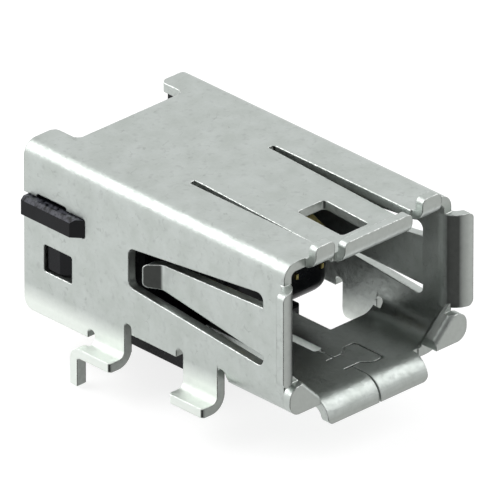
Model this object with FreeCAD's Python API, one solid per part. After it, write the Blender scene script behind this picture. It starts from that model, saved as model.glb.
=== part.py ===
import FreeCAD, Part
import math
import os

# Right-angle shielded receptacle for a printed circuit board, eight contacts in two rows.
# Millimetres. X runs across, the mouth faces -Y and +Z is up. The origin lies on the board's
# surface, under the housing and midway between the two locating pegs.
# A value named "depth" is measured down from the roof's outer face, and a place along the
# length is measured forwards from the shell's rear edge.

# Shell, one sheet of plated steel folded round the housing
sheet = 0.38
shell_width = 8.67
shell_length = 14.6
shell_top = 7.48
floor_bottom = 0.95
top_bend = 0.6
bottom_bend = 1.1
peg_line = 3.48

# Rear edge of the roof, with an ear left at each side
ear_width = 1.6
ear_length = 1.25
ear_round = 0.3
wall_corner_round = 0.45

# Lips flared outwards round the mouth
lip_bend = 0.2
side_lip_bend = 0.5
side_lip_reach = 0.6
side_lip_depth = 0.83
side_lip_height = 3.9
roof_lip_reach = 0.6
roof_lip_inset = 1.08
roof_lip_width = 0.98
floor_lip_bend = 0.45
floor_lip_reach = 0.56
floor_lip_inset = 1.75
corner_flat = 2.2
corner_flat_length = 1.1
corner_flat_ramp = 0.5
corner_lip_top = 1.67
corner_lip_bottom = 0.5
corner_lip_end = 1.32
corner_lip_proud = 0.26
corner_lip_round = 0.5
corner_lip_bend = 0.22
corner_notch_length = 0.8
lip_round = 0.25
seam_gap = 0.08
seam_offset = 0.09

# Roof spring, a tongue that is free at the mouth and sits lower there
roof_slit_start = 6.7
roof_slit_width = 0.3
roof_tongue_width = 3.8
roof_tongue_drop = 0.3
roof_tongue_lip_width = 3.5
roof_tongue_lip_reach = 0.55
roof_window_width = 1.4
roof_window_length = 2.4
roof_window_front = 13.35
roof_window_round = 0.15

# Wall springs, tongues rooted near the mouth that bow into the cavity
wall_window_front = 12.9
wall_window_rear = 5.65
wall_window_rear_top = 2.36
wall_window_rear_bottom = 4.0
wall_window_front_top = 1.55
wall_window_front_bottom = 4.66
wall_window_round = 0.3
wall_slit_rear_top = 0.5
wall_slit_front_top = 0.6
wall_slit_rear_bottom = 0.33
wall_slit_front_bottom = 0.48
wall_spring_tip = 6.4
wall_spring_touch = 7.05
wall_spring_bow = 0.45
wall_spring_bend = 0.4
wall_spring_round = 0.2

# Lower edge of the walls, with two feet a side
rear_wall_gap = 0.5
middle_wall_gap = 1.5
foot_reach = 0.77
foot_bend = 0.3
foot_round = 0.15
rear_foot_start = 3.83
rear_foot_width = 1.6
front_foot_start = 8.6
front_foot_width = 1.84
relief_width = 0.38
relief_depth = 0.4
peg_width = 0.45
peg_depth = 1.3
peg_rear = 3.29
peg_bend = 0.1
peg_tip = 0.1

# Floor strip behind the mouth, and the dovetail that locks the floor's seam
floor_strip_width = 3.1
floor_strip_rear = 6.9
seam_slot_width = 0.42
seam_slot_front = 11.3
dovetail_place = 12.6
dovetail_head = 1.5
dovetail_neck = 0.85
dovetail_neck_length = 0.45
dovetail_shoulder = 0.85
dovetail_reach = 1.33
dovetail_round = 0.15

# Slot for the housing's wing, and window for its snap lug
wing_slot_depth = 2.08
wing_slot_height = 0.82
wing_slot_length = 3.3
wing_relief_start = 0.7
wing_relief_length = 1.6
wing_relief_height = 0.14
lug_window_start = 1.08
lug_window_length = 1.52
lug_window_depth = 3.92
lug_window_height = 1.15
punch_round = 0.1

# Housing, one black moulding
housing_fit = 0.04
body_rear = 1.6
body_front = 4.85
body_shoulder = 1.18
body_bottom = 0.6
rail_rear = 0.2
wing_reach = 0.36
wing_bevel = 0.14
wing_ramp = 0.42
lug_stand_out = 0.3
lug_ramp = 0.7
nose_width = 5.2
nose_front = 9.5
nose_depth = 2.43
nose_underside_depth = 5.18
nose_round = 0.75
nose_front_round = 0.65
nose_top_round = 0.3
nose_wall = 0.35
base_width = 5.75
base_front = 7.45
base_height = 0.8
moulded_round = 0.12

# Contacts, stamped and gold plated
contacts_per_row = 4
contact_pitch = 1.31
contact_width = 0.34
contact_sheet = 0.2
contact_bend = 0.12
contact_fit = 0.03
upper_row_depth = 2.83
upper_crown_depth = 2.03
upper_crown_place = 8.8
upper_tip_depth = 2.35
upper_tip_place = 9.55
lower_row_depth = 3.83
lower_tip_place = 9.58
lower_tip_width = 0.11
tail_width = 0.3
tail_clearance = 0.42
tail_place = 0.62
tail_foot_end = 0.12
jog_front = 1.45
jog_length = 0.36

# Places worked out from the sizes above
half_width = shell_width / 2
inner_half = half_width - sheet
inner_top = shell_top - sheet
floor_top = floor_bottom + sheet
foot_bend_top = sheet + foot_bend
lip_start = shell_length - sheet - lip_bend
side_lip_start = shell_length - sheet - side_lip_bend
floor_lip_start = shell_length - sheet - floor_lip_bend
ring_rear = front_foot_start + front_foot_width
rear_foot_end = rear_foot_start + rear_foot_width
body_half = inner_half - housing_fit
body_top = inner_top - housing_fit
lower_shoulder_place = nose_front - nose_wall
tail_step = contact_pitch / 4
tail_edge = (contacts_per_row - 1) / 2 * contact_pitch + tail_step + tail_width / 2
rail_inner = tail_edge + tail_clearance
overlap = sheet / 2
V = FreeCAD.Vector


def at(place):
    """Y of a place this far in front of the shell's rear edge."""
    return peg_line - place


def under(depth):
    """Z of a place this far below the roof's outer face."""
    return shell_top - depth


def box(x0, x1, y0, y1, z0, z1):
    low = V(min(x0, x1), min(y0, y1), min(z0, z1))
    return Part.makeBox(abs(x1 - x0), abs(y1 - y0), abs(z1 - z0), low)


def face_of(points):
    return Part.Face(Part.makePolygon(points + [points[0]]))


def along(axis):
    """A test for straight edges that run along one axis."""
    def chosen(edge):
        if not isinstance(edge.Curve, Part.Line):
            return False
        return abs(edge.Curve.Direction.dot(axis)) > 0.999
    return chosen


along_x = along(V(1, 0, 0))
along_y = along(V(0, 1, 0))
along_z = along(V(0, 0, 1))


def rounded(solid, radius, chosen):
    return solid.makeFillet(radius, [edge for edge in solid.Edges if chosen(edge)])


def chamfered(solid, size, chosen):
    return solid.makeChamfer(size, [edge for edge in solid.Edges if chosen(edge)])


def mirrored(shape):
    return shape.mirror(V(0, 0, 0), V(1, 0, 0))


def both_sides(shape):
    return [shape, mirrored(shape)]


# A folded strip: the path of one face is given, and the sheet lies to the left of it

def unit(a, b):
    length = math.hypot(b[0] - a[0], b[1] - a[1])
    return ((b[0] - a[0]) / length, (b[1] - a[1]) / length)


def shifted(point, way, distance):
    return (point[0] + way[0] * distance, point[1] + way[1] * distance)


def turned(way, angle):
    a, b = way
    return (a * math.cos(angle) - b * math.sin(angle), a * math.sin(angle) + b * math.cos(angle))


def left_of(way):
    return (-way[1], way[0])


def fold_outline(points, thickness, bend):
    """Lines and arcs round a folded sheet's section. bend is the radius inside each fold."""
    path = []
    back = []
    path_end = points[0]
    back_end = shifted(points[0], left_of(unit(points[0], points[1])), thickness)
    start = ("line", back_end, points[0])
    for corner in range(1, len(points) - 1):
        before = unit(points[corner - 1], points[corner])
        after = unit(points[corner], points[corner + 1])
        turn = math.atan2(before[0] * after[1] - before[1] * after[0],
                          before[0] * after[0] + before[1] * after[1])
        side = math.copysign(1, turn)
        radius = bend + (thickness if side > 0 else 0)
        tangent = radius * math.tan(abs(turn) / 2)
        bend_start = shifted(points[corner], before, -tangent)
        bend_end = shifted(points[corner], after, tangent)
        centre = shifted(bend_start, left_of(before), side * radius)
        out = turned(before, turn / 2 - side * math.pi / 2)
        path.append(("line", path_end, bend_start))
        path.append(("arc", bend_start, shifted(centre, out, radius), bend_end))
        back_start = shifted(bend_start, left_of(before), thickness)
        back.append(("line", back_end, back_start))
        back_end = shifted(bend_end, left_of(after), thickness)
        back.append(("arc", back_start, shifted(centre, out, radius - side * thickness), back_end))
        path_end = bend_end
    far = shifted(points[-1], left_of(unit(points[-2], points[-1])), thickness)
    path.append(("line", path_end, points[-1]))
    back.append(("line", back_end, far))
    returning = [(kind,) + tuple(reversed(ends)) for kind, *ends in reversed(back)]
    return path + [("line", points[-1], far)] + returning + [start]


def folded(points, thickness, bend, place, run):
    """A folded strip. place puts a flat point into space, and run is the strip's width."""
    edges = []
    for kind, *ends in fold_outline(points, thickness, bend):
        spots = [place(a, b) for a, b in ends]
        if kind == "line":
            edges.append(Part.LineSegment(spots[0], spots[1]).toShape())
        else:
            edges.append(Part.Arc(spots[0], spots[1], spots[2]).toShape())
    return Part.Face(Part.Wire(edges)).extrude(run)


# The shell's box

def long_block(half, place_front, place_rear, bottom, top, top_radius, bottom_radius=0):
    """A block along Y with its long edges rounded."""
    block = box(-half, half, at(place_front), at(place_rear), bottom, top)
    middle = (bottom + top) / 2
    block = rounded(block, top_radius, lambda e: along_y(e) and e.CenterOfMass.z > middle)
    if bottom_radius:
        block = rounded(block, bottom_radius,
                        lambda e: along_y(e) and e.CenterOfMass.z < middle)
    return block


def mouth_ring():
    """The closed box between the lips and the front feet."""
    outer = long_block(half_width, lip_start, ring_rear, floor_bottom, shell_top,
                       top_bend, bottom_bend)
    inner = long_block(inner_half, lip_start, ring_rear, floor_top, inner_top,
                       top_bend - sheet, bottom_bend - sheet)
    notch = relief(ring_rear, middle_wall_gap)
    notch = notch.cut(box(-inner_half + overlap, inner_half - overlap, at(shell_length), at(0),
                          0, shell_top))
    early = box(-inner_half + bottom_bend, inner_half - bottom_bend, at(shell_length),
                at(floor_lip_start), 0, floor_top)
    return outer.cut(inner).cut([early, notch])


def rear_hood():
    """Roof and walls behind the ring, open below."""
    outer = long_block(half_width, ring_rear, 0, -shell_top, shell_top, top_bend)
    inner = long_block(inner_half, ring_rear, 0, -shell_top, inner_top, top_bend - sheet)
    return outer.cut(inner).common(wall_outline())


def side_view_block(front, rear, bottom):
    return box(-shell_width, shell_width, at(front), at(rear), bottom, 2 * shell_top)


def wall_outline():
    """What the walls keep, seen from the side: their lower edge, the straps and the reliefs."""
    rear = side_view_block(rear_foot_end, 0, rear_wall_gap)
    rear = rounded(rear, wall_corner_round,
                   lambda e: along_x(e) and e.CenterOfMass.y > at(rear_foot_start)
                   and e.CenterOfMass.z < shell_top)
    outline = rear.fuse(side_view_block(ring_rear, rear_foot_start, middle_wall_gap))
    outline = outline.fuse(side_view_block(rear_foot_end, rear_foot_start, foot_bend_top))
    outline = outline.fuse(side_view_block(ring_rear, front_foot_start, foot_bend_top))
    for start, gap in ((rear_foot_start - relief_width, rear_wall_gap),
                       (rear_foot_end, middle_wall_gap),
                       (front_foot_start - relief_width, middle_wall_gap)):
        outline = outline.cut(relief(start, gap))
    return outline


def relief(start, gap):
    """A notch beside a strap, round at its top."""
    notch = side_view_block(start + relief_width, start, 0)
    notch = notch.common(box(-shell_width, shell_width, at(shell_length), at(0),
                             0, gap + relief_depth))
    return rounded(notch, relief_width * 0.48,
                   lambda e: along_x(e) and e.CenterOfMass.z > gap)


def floor_strip():
    half = floor_strip_width / 2
    return box(-half, half, at(ring_rear + overlap), at(floor_strip_rear), floor_bottom, floor_top)


# Feet and pegs of the left wall

def foot(start, width):
    """Down the wall, then out along the board."""
    place = lambda a, b: V(a, at(start), b)
    points = [(-half_width, foot_bend_top + overlap), (-half_width, sheet),
              (-half_width - foot_reach, sheet)]
    strip = folded(points, sheet, foot_bend, place, V(0, -width, 0))
    return rounded(strip, foot_round,
                   lambda e: along_z(e) and e.CenterOfMass.x < -half_width - foot_reach / 2)


def peg():
    """The arm behind the rear foot, which turns down through the board."""
    outer = -half_width - foot_reach
    face = at(peg_rear) - sheet
    place = lambda a, b: V(outer, a, b)
    points = [(at(rear_foot_start + foot_bend), 0), (face, 0), (face, -peg_depth)]
    strip = folded(points, sheet, peg_bend, place, V(peg_width, 0, 0))
    return chamfered(strip, peg_tip, lambda e: e.BoundBox.ZMax < -peg_depth + peg_tip)


# Lips

def roof_lip():
    """The left one of the two short lips beside the roof spring."""
    face = at(shell_length) + sheet
    place = lambda a, b: V(-half_width + roof_lip_inset, a, b)
    points = [(at(lip_start - overlap), shell_top), (face, shell_top),
              (face, shell_top + roof_lip_reach)]
    lip = folded(points, sheet, lip_bend, place, V(roof_lip_width, 0, 0))
    return rounded(lip, lip_round,
                   lambda e: along_y(e) and e.CenterOfMass.z > shell_top + lip_bend)


def side_lip():
    """The tall lip of the left wall."""
    face = at(shell_length) + sheet
    place = lambda a, b: V(a, b, under(side_lip_depth))
    points = [(-half_width, at(side_lip_start - overlap)), (-half_width, face),
              (-half_width - side_lip_reach, face)]
    lip = folded(points, sheet, side_lip_bend, place, V(0, 0, -side_lip_height))
    return rounded(lip, lip_round,
                   lambda e: along_y(e) and e.CenterOfMass.x < -half_width - side_lip_bend)


def side_lip_room():
    """Clears the left wall where its lip begins to turn out."""
    top = under(side_lip_depth)
    return box(-shell_width, -inner_half + overlap, at(lip_start), at(side_lip_start),
               top - side_lip_height, top)


def floor_lip():
    """The floor's lip, in one piece until the seam parts it."""
    face = at(shell_length) + sheet
    x0 = -half_width + floor_lip_inset
    place = lambda a, b: V(x0, a, b)
    points = [(face, floor_bottom - floor_lip_reach), (face, floor_bottom),
              (at(floor_lip_start - overlap), floor_bottom)]
    lip = folded(points, sheet, floor_lip_bend, place, V(-2 * x0, 0, 0))
    return rounded(lip, lip_round,
                   lambda e: along_y(e) and e.CenterOfMass.z < floor_bottom)


def corner_outline(points, front, rear):
    """A prism at the left lower corner. Points are measured from the wall and the floor."""
    spots = [V(-half_width + x, at(front), floor_bottom + z) for x, z in points]
    return face_of(spots).extrude(V(0, front - rear, 0))


def corner_notch():
    """Clears the left lower corner under its lip, at the very front."""
    return box(-shell_width, -inner_half + bottom_bend, at(shell_length),
               at(shell_length - corner_notch_length), 0, floor_bottom + corner_lip_bottom)


def corner_lip():
    """The lip at the left lower corner, with the flat across the corner that it grows from."""
    end = corner_lip_end
    inner_end = (end, corner_flat - end)
    rear = shell_length - corner_flat_length
    outer = long_block(half_width, shell_length, rear - sheet, floor_bottom, shell_top,
                       top_bend, bottom_bend)
    flat = corner_outline([(overlap, corner_flat - overlap), inner_end, (end, overlap),
                           (overlap, overlap)], shell_length, rear)
    flat = chamfered(flat, corner_flat_ramp,
                     lambda e: e.CenterOfMass.y > at(rear) - overlap
                     and e.CenterOfMass.z > floor_bottom + corner_flat / 3
                     and e.CenterOfMass.x > -half_width + corner_flat / 4).common(outer)
    lip = corner_outline([(corner_flat - corner_lip_top, corner_lip_top), inner_end,
                          (end, corner_lip_bottom), (-corner_lip_proud, corner_lip_bottom),
                          (-corner_lip_proud, corner_lip_top)],
                         shell_length, shell_length - sheet)
    lip = rounded(lip, corner_lip_round,
                  lambda e: along_y(e) and e.CenterOfMass.x < -half_width)
    above = box(-2 * half_width, 0, at(shell_length), at(shell_length - sheet),
                floor_bottom + corner_lip_top, shell_top)
    joined = flat.cut(corner_notch()).fuse(lip).cut(above).removeSplitter()
    crest = along(V(1, 0, -1).normalize())
    return rounded(joined, corner_lip_bend,
                   lambda e: crest(e) and e.CenterOfMass.y < at(shell_length - corner_lip_bend / 2))


# Roof spring

def roof_spring():
    """The roof's tongue, drooping towards the mouth, with its own lip and window."""
    face = at(shell_length) + sheet
    low = shell_top - roof_tongue_drop
    x0 = -roof_tongue_width / 2
    place = lambda a, b: V(x0, a, b)
    points = [(at(roof_slit_start - overlap), shell_top), (at(roof_slit_start + sheet), shell_top),
              (face, low), (face, low + roof_tongue_lip_reach)]
    tongue = folded(points, sheet, lip_bend, place, V(roof_tongue_width, 0, 0))
    step_width = (roof_tongue_width - roof_tongue_lip_width) / 2
    for x in (x0, -x0 - step_width):
        step = box(x, x + step_width, at(shell_length), at(lip_start), low - sheet, 2 * shell_top)
        tongue = tongue.cut(step)
    tongue = rounded(tongue, lip_round,
                     lambda e: along_y(e) and e.CenterOfMass.z > shell_top + overlap)
    return tongue.cut(roof_window())


def roof_window():
    half = roof_window_width / 2
    hole = box(-half, half, at(roof_window_front), at(roof_window_front - roof_window_length),
               under(roof_tongue_drop + 2 * sheet), shell_top + sheet)
    return rounded(hole, roof_window_round, along_z)


def roof_clearing():
    """Clears the roof for its tongue and the slit on each side of it."""
    half = roof_tongue_width / 2 + roof_slit_width
    gap = box(-half, half, at(shell_length), at(roof_slit_start), inner_top - sheet,
              shell_top + sheet)
    return rounded(gap, roof_slit_width * 0.48,
                   lambda e: along_z(e) and e.CenterOfMass.y > at(lip_start))


# Wall springs

def between(place, rear_value, front_value):
    """A value that changes evenly along the wall's window, taken at one place."""
    share = (place - wall_window_rear) / (wall_window_front - wall_window_rear)
    return rear_value + share * (front_value - rear_value)


def side_wedge(front, rear, above, below, corner):
    """A block across the shell with the window's side view, less a margin above and below.
    Each margin is given at the window's rear and at its front."""
    x = -shell_width
    low = []
    high = []
    for place in (rear, front):
        top = between(place, wall_window_rear_top, wall_window_front_top)
        top += between(place, *above)
        bottom = between(place, wall_window_rear_bottom, wall_window_front_bottom)
        bottom -= between(place, *below)
        low.append(V(x, at(place), under(bottom)))
        high.append(V(x, at(place), under(top)))
    block = face_of(low + high[::-1]).extrude(V(2 * shell_width, 0, 0))
    return rounded(block, corner, along_x)


def wall_spring():
    """The left wall's tongue, bowed into the cavity and turned out again at its tip."""
    rest = -half_width
    place = lambda a, b: V(a, b, 0)
    points = [(rest, at(wall_spring_tip)), (rest + wall_spring_bow, at(wall_spring_touch)),
              (rest, at(wall_window_front)), (rest, at(wall_window_front + overlap))]
    strip = folded(points, sheet, wall_spring_bend, place, V(0, 0, shell_top))
    outline = side_wedge(wall_window_front + sheet, wall_spring_tip,
                         (wall_slit_rear_top, wall_slit_front_top),
                         (wall_slit_rear_bottom, wall_slit_front_bottom), wall_spring_round)
    return strip.common(outline)


# Cutters for the shell

def rear_notch():
    half = half_width - ear_width
    notch = box(-half, half, at(ear_length), at(-ear_length), inner_top - sheet,
                shell_top + sheet)
    notch = rounded(notch, ear_round, lambda e: along_z(e) and e.CenterOfMass.y < at(0))
    return notch


def ear_corner():
    """Rounds off the left ear's corner beside the notch."""
    x = -half_width + ear_width
    block = box(x - ear_round, x, at(ear_round), at(0), inner_top - sheet, shell_top + sheet)
    post = Part.makeCylinder(ear_round, 3 * sheet, V(x - ear_round, at(ear_round),
                                                     inner_top - sheet))
    return block.cut(post)


def wing_slot():
    """The slot in the left wall, open at the rear, with more room over its middle."""
    top = under(wing_slot_depth)
    slot = box(-shell_width, -inner_half + overlap, at(wing_slot_length), at(-overlap),
               top - wing_slot_height, top)
    slot = rounded(slot, punch_round, lambda e: along_x(e) and e.CenterOfMass.y < at(0))
    room = box(-shell_width, -inner_half + overlap, at(wing_relief_start + wing_relief_length),
               at(wing_relief_start), top - overlap, top + wing_relief_height)
    room = rounded(room, punch_round, lambda e: along_x(e) and e.CenterOfMass.z > top)
    return slot.fuse(room)


def lug_window():
    top = under(lug_window_depth)
    hole = box(-shell_width, -inner_half + overlap, at(lug_window_start + lug_window_length),
               at(lug_window_start), top - lug_window_height, top)
    return rounded(hole, punch_round, along_x)


def dovetail(grow):
    """The tab of the left half of the floor, seen from above."""
    middle = at(dovetail_place)
    neck = dovetail_neck / 2 + grow
    head = dovetail_head / 2 + grow
    side = [(-sheet, neck), (dovetail_neck_length - grow / 2, neck),
            (dovetail_shoulder - grow / 2, head), (dovetail_reach + grow, head)]
    points = [V(x, middle - half, floor_bottom - sheet) for x, half in side]
    points += [V(x, middle + half, floor_bottom - sheet) for x, half in reversed(side)]
    block = face_of(points).extrude(V(0, 0, 3 * sheet))
    return rounded(block, dovetail_round, lambda e: along_z(e) and e.CenterOfMass.x > 0)


def floor_seam():
    """The gap where the two halves of the floor meet, with its dovetail and rear slot."""
    slit = box(-seam_gap / 2, seam_gap / 2, at(shell_length), at(seam_slot_front),
               floor_bottom - 2 * floor_lip_reach, floor_top + sheet)
    seam = slit.fuse(dovetail(seam_gap)).cut(dovetail(0))
    half = seam_slot_width / 2
    slot = box(-half, half, at(seam_slot_front), at(floor_strip_rear + 2 * sheet),
               floor_bottom - sheet, floor_top + sheet)
    seam = seam.fuse(rounded(slot, punch_round, along_z))
    seam.translate(V(seam_offset, 0, 0))
    return seam


def make_shell():
    shell = mouth_ring().fuse([rear_hood(), floor_strip(), floor_lip()])
    cutters = [roof_clearing(), rear_notch(), floor_seam(),
               side_wedge(wall_window_front, wall_window_rear, (0, 0), (0, 0),
                          wall_window_round)]
    cutters += both_sides(wing_slot()) + both_sides(lug_window()) + both_sides(ear_corner())
    cutters += both_sides(corner_notch()) + both_sides(side_lip_room())
    shell = shell.cut(cutters)
    added = [roof_spring()] + both_sides(wall_spring()) + both_sides(roof_lip())
    added += both_sides(side_lip()) + both_sides(corner_lip())
    added += both_sides(foot(rear_foot_start, rear_foot_width))
    added += both_sides(foot(front_foot_start, front_foot_width)) + both_sides(peg())
    return shell.fuse(added).removeSplitter()


# Housing

def body_core():
    """The block that fills the shell's rear, narrowed towards its front."""
    body = long_block(body_half, body_front, body_rear, body_bottom, body_top,
                      top_bend - sheet)
    tip = body_half - body_shoulder
    wide_end = at(body_front - body_shoulder)
    points = [V(-tip, at(body_front), 0), V(tip, at(body_front), 0), V(body_half, wide_end, 0),
              V(body_half, at(body_rear), 0), V(-body_half, at(body_rear), 0),
              V(-body_half, wide_end, 0)]
    return body.common(face_of(points).extrude(V(0, 0, shell_top)))


def rail():
    """The left arm that runs back beside the contact tails."""
    arm = box(-body_half, -rail_inner, at(body_rear + body_shoulder), at(rail_rear),
              body_bottom, body_top)
    arm = rounded(arm, top_bend - sheet,
                  lambda e: along_y(e) and e.CenterOfMass.z > shell_top / 2
                  and e.CenterOfMass.x < -(body_half + rail_inner) / 2)
    return rounded(arm, moulded_round, lambda e: along_z(e) and e.CenterOfMass.y > at(rail_rear * 2))


def wing():
    """The left wing, which sits in the wall's slot and stands proud of the wall."""
    top = under(wing_slot_depth) - housing_fit
    bottom = under(wing_slot_depth) - wing_slot_height + housing_fit
    front = at(wing_slot_length - housing_fit)
    outer = -half_width - wing_reach
    z = bottom
    points = [V(-body_half + sheet, at(rail_rear), z), V(outer, at(rail_rear), z),
              V(outer, front + wing_ramp, z), V(-half_width, front, z),
              V(-body_half + sheet, front, z)]
    block = face_of(points).extrude(V(0, 0, top - bottom))
    block = chamfered(block, wing_bevel,
                      lambda e: along_y(e) and e.CenterOfMass.x < -half_width
                      and e.CenterOfMass.z > (top + bottom) / 2)
    return block


def snap_lug():
    """The left lug, which snaps into the wall's window and slopes off towards the mouth."""
    fit = 2 * housing_fit
    top = under(lug_window_depth) - fit
    bottom = under(lug_window_depth) - lug_window_height + fit
    rear = at(lug_window_start + fit)
    front = at(lug_window_start + lug_window_length - fit)
    outer = -body_half - lug_stand_out
    points = [V(-body_half + sheet, rear, bottom), V(outer, rear, bottom),
              V(outer, front + lug_ramp, bottom), V(-body_half, front, bottom),
              V(-body_half + sheet, front, bottom)]
    return face_of(points).extrude(V(0, 0, top - bottom))


def nose():
    """The upper projection that carries the contacts into the mouth."""
    half = nose_width / 2
    block = box(-half, half, at(nose_front), at(body_front - sheet),
                under(nose_underside_depth), under(nose_depth))
    block = rounded(block, nose_round,
                    lambda e: along_y(e) and e.CenterOfMass.z < under(nose_depth + nose_round))
    face = at(nose_front) + moulded_round
    block = rounded(block, nose_front_round,
                    lambda e: e.CenterOfMass.y < face and e.CenterOfMass.z < under(nose_depth))
    return rounded(block, nose_top_round,
                   lambda e: e.CenterOfMass.z > under(nose_depth + moulded_round)
                   and e.CenterOfMass.y < at(nose_front - nose_front_round))


def base():
    """The lower projection, which stands on the board."""
    half = base_width / 2
    block = box(-half, half, at(base_front), at(body_rear), 0, base_height)
    return rounded(block, moulded_round,
                   lambda e: e.CenterOfMass.z > base_height / 2
                   and e.CenterOfMass.y < at(base_front) + moulded_round)


def contact_places():
    first = -(contacts_per_row - 1) / 2
    return [(first + i) * contact_pitch for i in range(contacts_per_row)]


def contact_channels():
    """Passages for the contacts, open above the nose for the upper row."""
    half = contact_width / 2 + contact_fit
    tip_half = lower_tip_width / 2 + contact_fit
    clear = contact_sheet + contact_fit
    cutters = []
    for x in contact_places():
        cutters.append(box(x - half, x + half, at(shell_length), at(0),
                           under(upper_row_depth + clear), under(upper_row_depth - contact_fit)))
        cutters.append(box(x - half, x + half, at(shell_length), at(body_front),
                           under(upper_row_depth + clear), under(nose_depth) + sheet))
        low, high = under(lower_row_depth + clear), under(lower_row_depth - contact_fit)
        cutters.append(box(x - half, x + half, at(lower_shoulder_place + contact_fit), at(0),
                           low, high))
        cutters.append(box(x - tip_half, x + tip_half, at(shell_length),
                           at(lower_shoulder_place), low, high))
    return cutters


def make_housing():
    parts = both_sides(rail()) + both_sides(wing()) + both_sides(snap_lug()) + [nose(), base()]
    return body_core().fuse(parts).removeSplitter().cut(contact_channels())


# Contacts

def jog(x, tail_x, depth):
    """The flat stretch behind the housing that steps sideways from a contact to its tail."""
    left = min(x - contact_width / 2, tail_x - tail_width / 2)
    right = max(x + contact_width / 2, tail_x + tail_width / 2)
    return box(left, right, at(jog_front), at(jog_front - jog_length),
               under(depth + contact_sheet), under(depth))


def tail(tail_x, depth):
    """A tail: a foot on the board, a riser, and a short run forwards."""
    x = tail_x - tail_width / 2
    place = lambda a, b: V(x, a, b)
    points = [(at(tail_foot_end), contact_sheet), (at(tail_place), contact_sheet),
              (at(tail_place), under(depth)), (at(jog_front), under(depth))]
    return folded(points, contact_sheet, contact_bend, place, V(tail_width, 0, 0))


def upper_beam(x):
    place = lambda a, b: V(x - contact_width / 2, a, b)
    points = [(at(jog_front - jog_length), under(upper_row_depth)),
              (at(body_front + sheet), under(upper_row_depth)),
              (at(upper_crown_place), under(upper_crown_depth)),
              (at(upper_tip_place), under(upper_tip_depth))]
    return folded(points, contact_sheet, 4 * contact_bend, place, V(contact_width, 0, 0))


def lower_beam(x):
    """A flat strip with a narrow tip that shows in the front of the nose."""
    bottom, top = under(lower_row_depth + contact_sheet), under(lower_row_depth)
    strip = box(x - contact_width / 2, x + contact_width / 2, at(lower_shoulder_place),
                at(jog_front - jog_length), bottom, top)
    tip = box(x - lower_tip_width / 2, x + lower_tip_width / 2, at(lower_tip_place),
              at(body_front), bottom, top)
    return strip.fuse(tip)


def make_contact(x, row):
    """One contact. The two rows' tails share a line, so they step aside in turn."""
    if row == "upper":
        return upper_beam(x).fuse([jog(x, x + tail_step, upper_row_depth),
                                   tail(x + tail_step, upper_row_depth)]).removeSplitter()
    return lower_beam(x).fuse([jog(x, x - tail_step, lower_row_depth),
                               tail(x - tail_step, lower_row_depth)]).removeSplitter()


def main():
    os.makedirs("parts", exist_ok=True)
    nodes = {"shell": make_shell(), "housing": make_housing()}
    for row in ("upper", "lower"):
        for number, x in enumerate(contact_places(), start=1):
            nodes[f"contact_{row}_{number}"] = make_contact(x, row)
    for name, shape in nodes.items():
        solids = shape.Solids
        print(name, len(solids), round(shape.Volume, 4), shape.isValid())
        piece = solids[0] if len(solids) == 1 else shape
        piece.exportStep(f"parts/{name}.step")


main()
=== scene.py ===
import math
import bpy
from mathutils import Matrix, Vector

# A shielded receptacle for a circuit board, on a white table under soft light.
# Metres. The mouth faces -Y and +Z is up.

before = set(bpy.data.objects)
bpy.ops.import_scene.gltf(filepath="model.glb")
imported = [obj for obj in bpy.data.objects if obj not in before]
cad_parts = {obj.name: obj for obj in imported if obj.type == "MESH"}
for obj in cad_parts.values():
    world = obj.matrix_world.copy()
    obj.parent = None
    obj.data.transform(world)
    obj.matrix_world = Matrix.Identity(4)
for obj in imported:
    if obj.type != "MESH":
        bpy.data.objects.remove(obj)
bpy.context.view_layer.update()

# Noise scales are given as spots to the millimetre
PER_MM = 1000.0

# Colours. A pair holds the two ends of a mottle.
STEEL = ((0.46, 0.495, 0.47), (0.515, 0.55, 0.53))
STEEL_FLECK = (0.36, 0.38, 0.37)
STEEL_SCUFF = (0.2, 0.21, 0.2)
# Painted shade on the upright faces that look out of the mouth
STEEL_MOUTH_SHADE = (0.345, 0.365, 0.345)
# Painted shade on the upright bends and edges that turn partly towards the mouth
STEEL_BEND_SHADE = (0.05, 0.053, 0.05)
# Painted highlight along the edges that face upwards
STEEL_EDGE_HIGHLIGHT = (0.86, 0.88, 0.86)
SOLDER = (0.82, 0.86, 0.82)
PLASTIC = ((0.004, 0.0045, 0.006), (0.008, 0.009, 0.012))
# Painted sheen in streaks on the housing's upper bevels
PLASTIC_SHEEN = (0.09, 0.092, 0.11)
GOLD = ((0.80, 0.64, 0.24), (0.92, 0.78, 0.38))
WHITE = (1, 1, 1, 1)
FLOOR_GREY = (0.3, 0.3, 0.3, 1)

# Places on the part where a mask begins and where it is full
SOLDER_HEIGHT = (0.0016, 0.0009)
SOLDER_SIDE = (0.0038, 0.0040)
SOLDER_FRONT = (-0.0072, -0.0070)
WING_SIDE = (0.00425, 0.00435)

# Surfaces. The edges are shaded as if rounded to these radii.
STEEL_ROUNDING = 0.00007
PLASTIC_ROUNDING = 0.00004
SOLDER_ROUGHER = 0.2
PLASTIC_SHINE = 0.15

# Sockets of a Mix node for colours
MIX_FACTOR = 0
MIX_COLOURS = (6, 7)
MIX_RESULT = 2

# Stage. The floor lies just under the tips of the locating pegs.
FLOOR_HEIGHT = -0.00131
FLOOR_SIZE = 4
FLOOR_GLOW = 0.8
LAMP_AIM = (0, -0.004, 0.003)

# The world dims towards one side. DIM_FULL is the cosine to it at which the dimming is full.
DIM_SIDE = (-0.45, -0.89, 0.1)
DIM_FULL = 0.8
DIM_LEVEL = 0.12

# Camera. The turn is to the left of the mouth's own direction, in degrees.
CAMERA_TURN, CAMERA_RISE = 43.97, 27.77
CAMERA_DISTANCE = 0.9
CAMERA_AIM = (0.00032, -0.00389, 0.00398)
CAMERA_LENS = 1732
CAMERA_SENSOR = 36
CAMERA_NEAR = 0.05


# Nodes

def new_material(name):
    material = bpy.data.materials.new(name)
    material.use_nodes = True
    material.node_tree.nodes.clear()
    return material, material.node_tree


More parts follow.
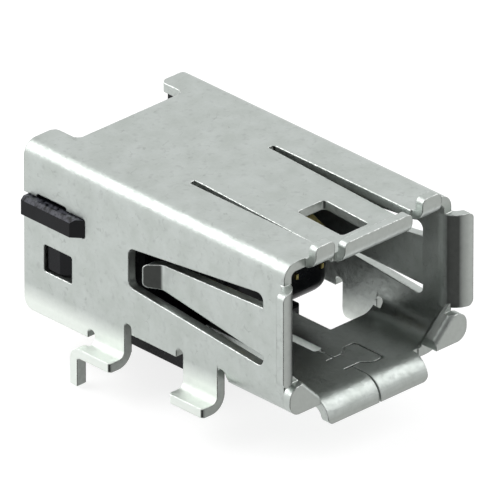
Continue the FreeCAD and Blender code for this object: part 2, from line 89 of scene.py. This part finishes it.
def add(tree, kind, **values):
    """A new node. Each value goes to the setting or the socket of its name."""
    node = tree.nodes.new(kind)
    for key, value in values.items():
        if hasattr(node, key):
            setattr(node, key, value)
        else:
            node.inputs[key.replace("_", " ")].default_value = value
    return node


def join(tree, source, output, target, socket):
    tree.links.new(source.outputs[output], target.inputs[socket])


def noise(tree, place, scale, detail, output="Object"):
    node = add(tree, "ShaderNodeTexNoise", Scale=scale * PER_MM, Detail=detail)
    join(tree, place, output, node, "Vector")
    return node


def mottle(tree, cloud, low, high, colours):
    """A noise turned into a colour between two."""
    node = tree.nodes.new("ShaderNodeValToRGB")
    ends = node.color_ramp.elements
    ends[0].position, ends[1].position = low, high
    ends[0].color = (*colours[0], 1)
    ends[1].color = (*colours[1], 1)
    join(tree, cloud, "Fac", node, "Fac")
    return node


def spread(tree, source, low, high):
    """A noise's middle range turned into a range of roughness."""
    node = add(tree, "ShaderNodeMapRange", From_Min=0.3, From_Max=0.7, To_Min=low, To_Max=high)
    join(tree, source, "Fac", node, "Value")
    return node, "Result"


def bump(tree, height, strength, distance, below=None):
    """Relief from a noise, on top of another node's normal if one is given."""
    node = add(tree, "ShaderNodeBump", Strength=strength, Distance=distance)
    join(tree, height, "Fac", node, "Height")
    if below:
        join(tree, below, "Normal", node, "Normal")
    return node


def components(tree, source, output):
    node = tree.nodes.new("ShaderNodeSeparateXYZ")
    join(tree, source, output, node, 0)
    return node


def flat_normal(tree):
    return components(tree, tree.nodes.new("ShaderNodeNewGeometry"), "Normal")


def blended(tree, mask, first, second):
    """Two colours mixed by a mask. A colour is a node or three numbers."""
    node = add(tree, "ShaderNodeMix", data_type="RGBA")
    join(tree, *mask, node, MIX_FACTOR)
    for slot, colour in zip(MIX_COLOURS, (first, second)):
        if isinstance(colour, tuple):
            node.inputs[slot].default_value = (*colour, 1)
        else:
            output = "Color" if "Color" in colour.outputs else MIX_RESULT
            join(tree, colour, output, node, slot)
    return node


# Masks. Each is a node with the name of its output.

def fade(tree, source, output, start, end, top=1.0):
    """0 up to start, then changing evenly to top at end."""
    node = add(tree, "ShaderNodeMapRange", From_Min=start, From_Max=end, To_Max=top)
    join(tree, source, output, node, "Value")
    return node, "Result"


def product(tree, first, *others):
    """Several masks multiplied together."""
    for other in others:
        times = add(tree, "ShaderNodeMath", operation="MULTIPLY")
        join(tree, *first, times, 0)
        join(tree, *other, times, 1)
        first = times, "Value"
    return first


def size_of(tree, source, output, middle=0.0):
    """How far a value lies from a middle, without its sign."""
    off = add(tree, "ShaderNodeMath", operation="SUBTRACT")
    off.inputs[1].default_value = middle
    join(tree, source, output, off, 0)
    node = add(tree, "ShaderNodeMath", operation="ABSOLUTE")
    join(tree, off, "Value", node, 0)
    return node, "Value"


def upright(tree, normal):
    """The faces and edges that stand upright, from the components of a normal."""
    return fade(tree, *size_of(tree, normal, "Z"), 0.35, 0.1)


def highlight_on_edges(tree, place, soft):
    """Painted highlight: broken bright lines along the edges that face upwards."""
    agree = add(tree, "ShaderNodeVectorMath", operation="DOT_PRODUCT")
    join(tree, soft, "Normal", agree, 0)
    join(tree, tree.nodes.new("ShaderNodeNewGeometry"), "Normal", agree, 1)
    edge = fade(tree, agree, "Value", 1.0, 0.85)
    upward = fade(tree, components(tree, soft, "Normal"), "Z", 0.15, 0.5)
    broken = fade(tree, noise(tree, place, 8.0, 2.0), "Fac", 0.4, 0.58)
    return product(tree, edge, upward, broken)


def soldered(tree, place):
    """The feet, which are dipped in solder."""
    parts = components(tree, place, "Object")
    low = fade(tree, parts, "Z", *SOLDER_HEIGHT)
    beside = fade(tree, *size_of(tree, parts, "X"), *SOLDER_SIDE)
    behind = fade(tree, parts, "Y", *SOLDER_FRONT)
    return product(tree, low, beside, behind)


def shade_towards_mouth(tree):
    """Painted shade on the upright faces that look out of the mouth."""
    parts = flat_normal(tree)
    return product(tree, fade(tree, parts, "Y", -0.8, -0.95), upright(tree, parts))


def shade_on_bends(tree, soft):
    """Painted shade on the upright bends and edges of the lips and the turned tips of the
    springs, where they turn partly towards the mouth.
    """
    parts = components(tree, soft, "Normal")
    begun = fade(tree, parts, "Y", -0.2, -0.45)
    ended = fade(tree, parts, "Y", -1.0, -0.82)
    return product(tree, begun, ended, upright(tree, parts))


def scuffs(tree, place):
    """Short curved scuffs: thin contour lines of one noise, kept where another is high."""
    near = size_of(tree, noise(tree, place, 1.7, 1.0), "Fac", 0.5)
    thin = fade(tree, *near, 0.012, 0.003)
    kept = fade(tree, noise(tree, place, 2.3, 2.0), "Fac", 0.56, 0.62, 0.3)
    return product(tree, thin, kept)


def sheen_on_bevels(tree, place):
    """Painted sheen: light streaks on the upper bevels of the housing's wings."""
    upward = fade(tree, flat_normal(tree), "Z", 0.2, 0.5)
    outside = fade(tree, *size_of(tree, components(tree, place, "Object"), "X"), *WING_SIDE)
    streaks = fade(tree, noise(tree, place, 6.0, 3.0), "Fac", 0.35, 0.6)
    return product(tree, upward, outside, streaks)


# Materials of the part

def finish(tree, shader, colour, rough, relief):
    join(tree, *colour, shader, "Base Color")
    join(tree, *rough, shader, "Roughness")
    join(tree, relief, "Normal", shader, "Normal")
    output = tree.nodes.new("ShaderNodeOutputMaterial")
    join(tree, shader, "BSDF", output, "Surface")


def steel_colour(tree, place, soft, solder):
    colour = mottle(tree, noise(tree, place, 1.3, 6.0), 0.33, 0.67, STEEL)
    fleck = fade(tree, noise(tree, place, 3.5, 3.0), "Fac", 0.58, 0.72, 0.42)
    for mask, over in ((fleck, STEEL_FLECK),
                       (scuffs(tree, place), STEEL_SCUFF),
                       (solder, SOLDER),
                       # painted shade on the upright faces towards the mouth
                       (shade_towards_mouth(tree), STEEL_MOUTH_SHADE),
                       # painted shade on the bends turned partly towards the mouth
                       (shade_on_bends(tree, soft), STEEL_BEND_SHADE),
                       # painted highlight along the upward edges
                       (highlight_on_edges(tree, place, soft), STEEL_EDGE_HIGHLIGHT)):
        colour = blended(tree, mask, colour, over)
    return colour, MIX_RESULT


def plated_steel():
    """Satin plating: a cloudy mottle, small flecks, scuffs and rolled grain, with painted
    highlights on the upward edges and painted shade on the bends and faces towards the mouth.
    """
    material, tree = new_material("plated_steel")
    place = tree.nodes.new("ShaderNodeTexCoord")
    shader = add(tree, "ShaderNodeBsdfPrincipled", Metallic=1.0)
    soft = add(tree, "ShaderNodeBevel", samples=8, Radius=STEEL_ROUNDING)
    solder = soldered(tree, place)
    colour = steel_colour(tree, place, soft, solder)
    rough = add(tree, "ShaderNodeMath", operation="MULTIPLY_ADD")
    rough.inputs[1].default_value = SOLDER_ROUGHER
    join(tree, *solder, rough, 0)
    join(tree, *spread(tree, noise(tree, place, 6.0, 3.0), 0.34, 0.48), rough, 2)
    along = add(tree, "ShaderNodeMapping", vector_type="POINT", Scale=(1.0, 0.3, 1.0))
    join(tree, place, "Object", along, "Vector")
    peel = bump(tree, noise(tree, place, 3.6, 4.0), 0.8, 0.00002, soft)
    grain = bump(tree, noise(tree, along, 9.0, 3.0, "Vector"), 0.5, 0.000006, peel)
    finish(tree, shader, colour, (rough, "Value"), grain)
    return material


def moulded_plastic():
    """Glossy black moulding with a slight waviness, and a painted sheen in streaks on the wings'
    upper bevels.
    """
    material, tree = new_material("black_moulding")
    place = tree.nodes.new("ShaderNodeTexCoord")
    shader = add(tree, "ShaderNodeBsdfPrincipled", Specular_IOR_Level=PLASTIC_SHINE)
    colour = mottle(tree, noise(tree, place, 0.8, 3.0), 0.3, 0.7, PLASTIC)
    # Painted sheen on the wings' upper bevels
    colour = blended(tree, sheen_on_bevels(tree, place), colour, PLASTIC_SHEEN)
    rough = spread(tree, noise(tree, place, 3.0, 3.0), 0.13, 0.3)
    soft = add(tree, "ShaderNodeBevel", samples=6, Radius=PLASTIC_ROUNDING)
    wave = bump(tree, noise(tree, place, 2.0, 2.0), 0.3, 0.00002, soft)
    finish(tree, shader, (colour, MIX_RESULT), rough, wave)
    return material


def gold_plate():
    """Bright gold plating with fine stamping marks."""
    material, tree = new_material("gold_plate")
    place = tree.nodes.new("ShaderNodeTexCoord")
    shader = add(tree, "ShaderNodeBsdfPrincipled", Metallic=1.0)
    colour = mottle(tree, noise(tree, place, 2.0, 2.0), 0.3, 0.7, GOLD)
    rough = spread(tree, noise(tree, place, 12.0, 2.0), 0.25, 0.4)
    marks = bump(tree, noise(tree, place, 20.0, 1.0), 0.15, 0.000004)
    finish(tree, shader, (colour, "Color"), rough, marks)
    return material


def dress():
    finishes = {"shell": plated_steel(), "housing": moulded_plastic(), "contact": gold_plate()}
    for name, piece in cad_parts.items():
        for slot in piece.material_slots:
            slot.material = finishes[name.split("_")[0]]


# Stage

def seen_directly(tree):
    """1 for a ray from the camera, or one that metal or glass sends on."""
    path = tree.nodes.new("ShaderNodeLightPath")
    sent_on = add(tree, "ShaderNodeMath", operation="MAXIMUM")
    join(tree, path, "Is Glossy Ray", sent_on, 0)
    join(tree, path, "Is Transmission Ray", sent_on, 1)
    either = add(tree, "ShaderNodeMath", operation="MAXIMUM")
    join(tree, path, "Is Camera Ray", either, 0)
    join(tree, sent_on, "Value", either, 1)
    return either


def white_floor():
    """A floor that glows where it is seen, so that it stays white with a faint shadow."""
    material, tree = new_material("white_floor")
    cloth = add(tree, "ShaderNodeBsdfDiffuse", Color=FLOOR_GREY)
    glow = add(tree, "ShaderNodeEmission", Color=WHITE)
    lift = add(tree, "ShaderNodeMath", operation="MULTIPLY")
    lift.inputs[1].default_value = FLOOR_GLOW
    join(tree, seen_directly(tree), "Value", lift, 0)
    join(tree, lift, "Value", glow, "Strength")
    both = tree.nodes.new("ShaderNodeAddShader")
    join(tree, cloth, "BSDF", both, 0)
    join(tree, glow, "Emission", both, 1)
    output = tree.nodes.new("ShaderNodeOutputMaterial")
    join(tree, both, "Shader", output, "Surface")
    bpy.ops.mesh.primitive_plane_add(size=FLOOR_SIZE, location=(0, 0, FLOOR_HEIGHT))
    floor = bpy.context.object
    floor.name = "floor"
    floor.data.materials.append(material)


def studio_world():
    """White for the camera. For light and for reflections it dims to the photographer's side."""
    world = bpy.data.worlds.new("studio")
    bpy.context.scene.world = world
    world.use_nodes = True
    tree = world.node_tree
    tree.nodes.clear()
    place = tree.nodes.new("ShaderNodeTexCoord")
    facing = add(tree, "ShaderNodeVectorMath", operation="DOT_PRODUCT")
    facing.inputs[1].default_value = DIM_SIDE
    join(tree, place, "Generated", facing, 0)
    level = add(tree, "ShaderNodeMapRange", From_Min=0.0, From_Max=DIM_FULL, To_Min=1.0,
                To_Max=DIM_LEVEL)
    join(tree, facing, "Value", level, "Value")
    strength = add(tree, "ShaderNodeMath", operation="MAXIMUM")
    join(tree, level, "Result", strength, 0)
    path = tree.nodes.new("ShaderNodeLightPath")
    join(tree, path, "Is Camera Ray", strength, 1)
    light = add(tree, "ShaderNodeBackground", Color=WHITE)
    join(tree, strength, "Value", light, "Strength")
    output = tree.nodes.new("ShaderNodeOutputWorld")
    join(tree, light, "Background", output, "Surface")


def softbox(name, offset, size, level):
    """A square lamp that looks at the part. level is its brightness, where 1 is white."""
    data = bpy.data.lights.new(name, "AREA")
    data.shape = "SQUARE"
    data.size = size
    data.energy = level * math.pi * size * size
    lamp = bpy.data.objects.new(name, data)
    bpy.context.scene.collection.objects.link(lamp)
    lamp.location = Vector(LAMP_AIM) + Vector(offset)
    lamp.rotation_euler = Vector(offset).to_track_quat("Z", "Y").to_euler()


def light_up():
    """A bright box behind on the left for the bends, one in front on the right for the lips."""
    softbox("bend_light", (-0.13, 0.18, 0.17), 0.24, 2.35)
    softbox("lip_light", (0.17, -0.13, 0.18), 0.26, 1.35)


def photo_camera():
    """Looks from the mouth's side, from so far that nearly all lines stay parallel."""
    turn, rise = math.radians(-CAMERA_TURN), math.radians(CAMERA_RISE)
    back = Vector((math.sin(turn) * math.cos(rise), -math.cos(turn) * math.cos(rise),
                   math.sin(rise)))
    right = Vector((math.cos(turn), math.sin(turn), 0))
    up = back.cross(right)
    data = bpy.data.cameras.new("camera")
    data.lens = CAMERA_LENS
    data.sensor_width = CAMERA_SENSOR
    data.clip_start = CAMERA_NEAR
    camera = bpy.data.objects.new("camera", data)
    bpy.context.scene.collection.objects.link(camera)
    turned = Matrix((right, up, back)).transposed().to_4x4()
    spot = Vector(CAMERA_AIM) + back * CAMERA_DISTANCE
    camera.matrix_world = Matrix.Translation(spot) @ turned
    bpy.context.scene.camera = camera


dress()
white_floor()
studio_world()
light_up()
photo_camera()
bpy.context.scene.view_settings.view_transform = "Standard"
